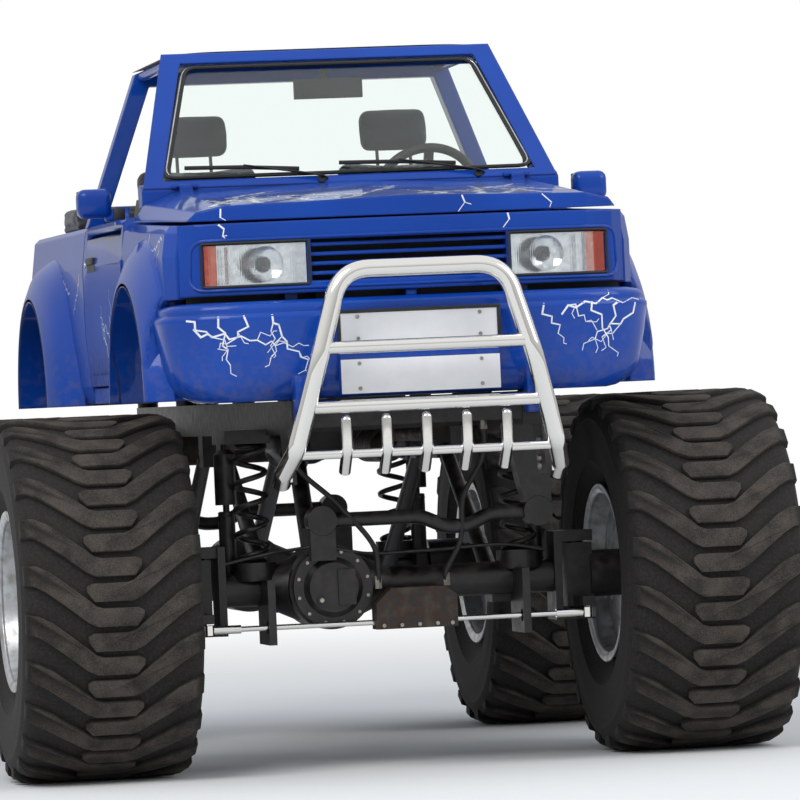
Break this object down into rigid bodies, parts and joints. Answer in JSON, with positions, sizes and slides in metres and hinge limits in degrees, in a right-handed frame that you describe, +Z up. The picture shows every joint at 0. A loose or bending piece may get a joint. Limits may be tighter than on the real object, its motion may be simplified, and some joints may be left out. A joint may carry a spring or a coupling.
{
  "type": "monster truck",
  "caption": "Two-door soft-top monster truck in royal blue, on a raised black frame with wide lugged tyres, chrome bull bar, working doors, bonnet, tailgate and steering.",
  "frame": {"origin": "centre of the whole outline's box, on the ground under the tyres", "axes": "-Y is the front, +X is the vehicle's left, +Z is up"},
  "size_m": [2.6, 3.7219, 2.4318],
  "materials": {
    "body_paint": "gloss",
    "frame_paint": "satin",
    "polished_tube": "polished",
    "tyre_rubber": "matte",
    "rim_silver": "satin",
    "clear_glass": "clear",
    "lamp_glass": "clear",
    "tail_lamp_red": "gloss",
    "plate_white": "gloss",
    "soft_top_cloth": "matte",
    "cabin_plastic": "matte",
    "seat_cloth": "matte",
    "guard_steel": "rusty",
    "cast_metal": "matte"
  },
  "bodies": {
    "chassis": {"chassis_frame": "frame_paint", "body_tub": "body_paint", "quarter_left": "body_paint", "quarter_right": "body_paint", "windscreen_frame": "body_paint", "windscreen_glass": "clear_glass", "roll_hoop": "body_paint", "soft_top": "soft_top_cloth", "wing_left": "body_paint", "wing_right": "body_paint", "front_panel": "body_paint", "headlamps": "lamp_glass", "front_bumper": "body_paint", "bull_bar": "polished_tube", "number_plates": "plate_white", "tail_lamps": "tail_lamp_red", "rear_bumper": "body_paint", "dashboard": "cabin_plastic", "seats": "seat_cloth", "front_axle": "frame_paint", "rear_axle": "frame_paint", "steering_cylinder": "guard_steel", "coil_springs": "frame_paint", "shock_absorbers": "frame_paint", "suspension_links": "frame_paint", "engine_block": "cast_metal", "driveline": "cast_metal", "exhaust": "guard_steel", "fuel_tank": "guard_steel"},
    "bonnet": {"bonnet": "body_paint"},
    "door_left": {"door_left": "body_paint"},
    "door_right": {"door_right": "body_paint"},
    "tailgate": {"tailgate": "body_paint"},
    "knuckle_left": {"knuckle_left": "frame_paint"},
    "knuckle_right": {"knuckle_right": "frame_paint"},
    "steering_rod": {"steering_rod": "polished_tube"},
    "wheel_front_left": {"tyre_front_left": "tyre_rubber", "rim_front_left": "rim_silver"},
    "wheel_front_right": {"tyre_front_right": "tyre_rubber", "rim_front_right": "rim_silver"},
    "wheel_rear_left": {"tyre_rear_left": "tyre_rubber", "rim_rear_left": "rim_silver"},
    "wheel_rear_right": {"tyre_rear_right": "tyre_rubber", "rim_rear_right": "rim_silver"},
    "steering_wheel": {"steering_wheel": "cabin_plastic"}
  },
  "joints": [
    {"name": "steer_left", "type": "hinge", "parent": "chassis", "child": "knuckle_left", "pos_m": [0.64, -0.979, 0.6], "axis": [0, 0, 1], "range_deg": [-25, 25]},
    {"name": "steer_right", "type": "hinge", "parent": "chassis", "child": "knuckle_right", "pos_m": [-0.64, -0.979, 0.6], "axis": [0, 0, 1], "range_deg": [-25, 25]},
    {"name": "steering_slide", "type": "slide", "parent": "chassis", "child": "steering_rod", "axis": [1, 0, 0], "range_m": [-0.078, 0.078]},
    {"name": "steering_wheel_turn", "type": "hinge", "parent": "chassis", "child": "steering_wheel", "pos_m": [0.34, -0.209, 1.915], "axis": [0, 0.8829, 0.4695], "range_deg": [-450, 450]},
    {"name": "spin_front_left", "type": "hinge", "parent": "knuckle_left", "child": "wheel_front_left", "pos_m": [1, -0.979, 0.6], "axis": [1, 0, 0], "continuous": true},
    {"name": "spin_front_right", "type": "hinge", "parent": "knuckle_right", "child": "wheel_front_right", "pos_m": [-1, -0.979, 0.6], "axis": [1, 0, 0], "continuous": true},
    {"name": "spin_rear_left", "type": "hinge", "parent": "chassis", "child": "wheel_rear_left", "pos_m": [1, 1.221, 0.6], "axis": [1, 0, 0], "continuous": true},
    {"name": "spin_rear_right", "type": "hinge", "parent": "chassis", "child": "wheel_rear_right", "pos_m": [-1, 1.221, 0.6], "axis": [1, 0, 0], "continuous": true},
    {"name": "bonnet_hinge", "type": "hinge", "parent": "chassis", "child": "bonnet", "pos_m": [0, -0.641, 1.956], "axis": [-1, 0, 0], "range_deg": [0, 55]},
    {"name": "door_left_hinge", "type": "hinge", "parent": "chassis", "child": "door_left", "pos_m": [0.782, -0.529, 1.58], "axis": [0, 0, -1], "range_deg": [0, 65]},
    {"name": "door_right_hinge", "type": "hinge", "parent": "chassis", "child": "door_right", "pos_m": [-0.782, -0.529, 1.58], "axis": [0, 0, 1], "range_deg": [0, 65]},
    {"name": "tailgate_hinge", "type": "hinge", "parent": "chassis", "child": "tailgate", "pos_m": [-0.624, 1.793, 1.65], "axis": [0, 0, 1], "range_deg": [0, 90]}
  ],
  "couplings": [
    {"joint": "steer_right", "follows": "steer_left", "ratio": 1},
    {"joint": "steering_slide", "follows": "steer_left", "m_per_rad": 0.17},
    {"joint": "steering_wheel_turn", "follows": "steer_left", "ratio": 16}
  ]
}
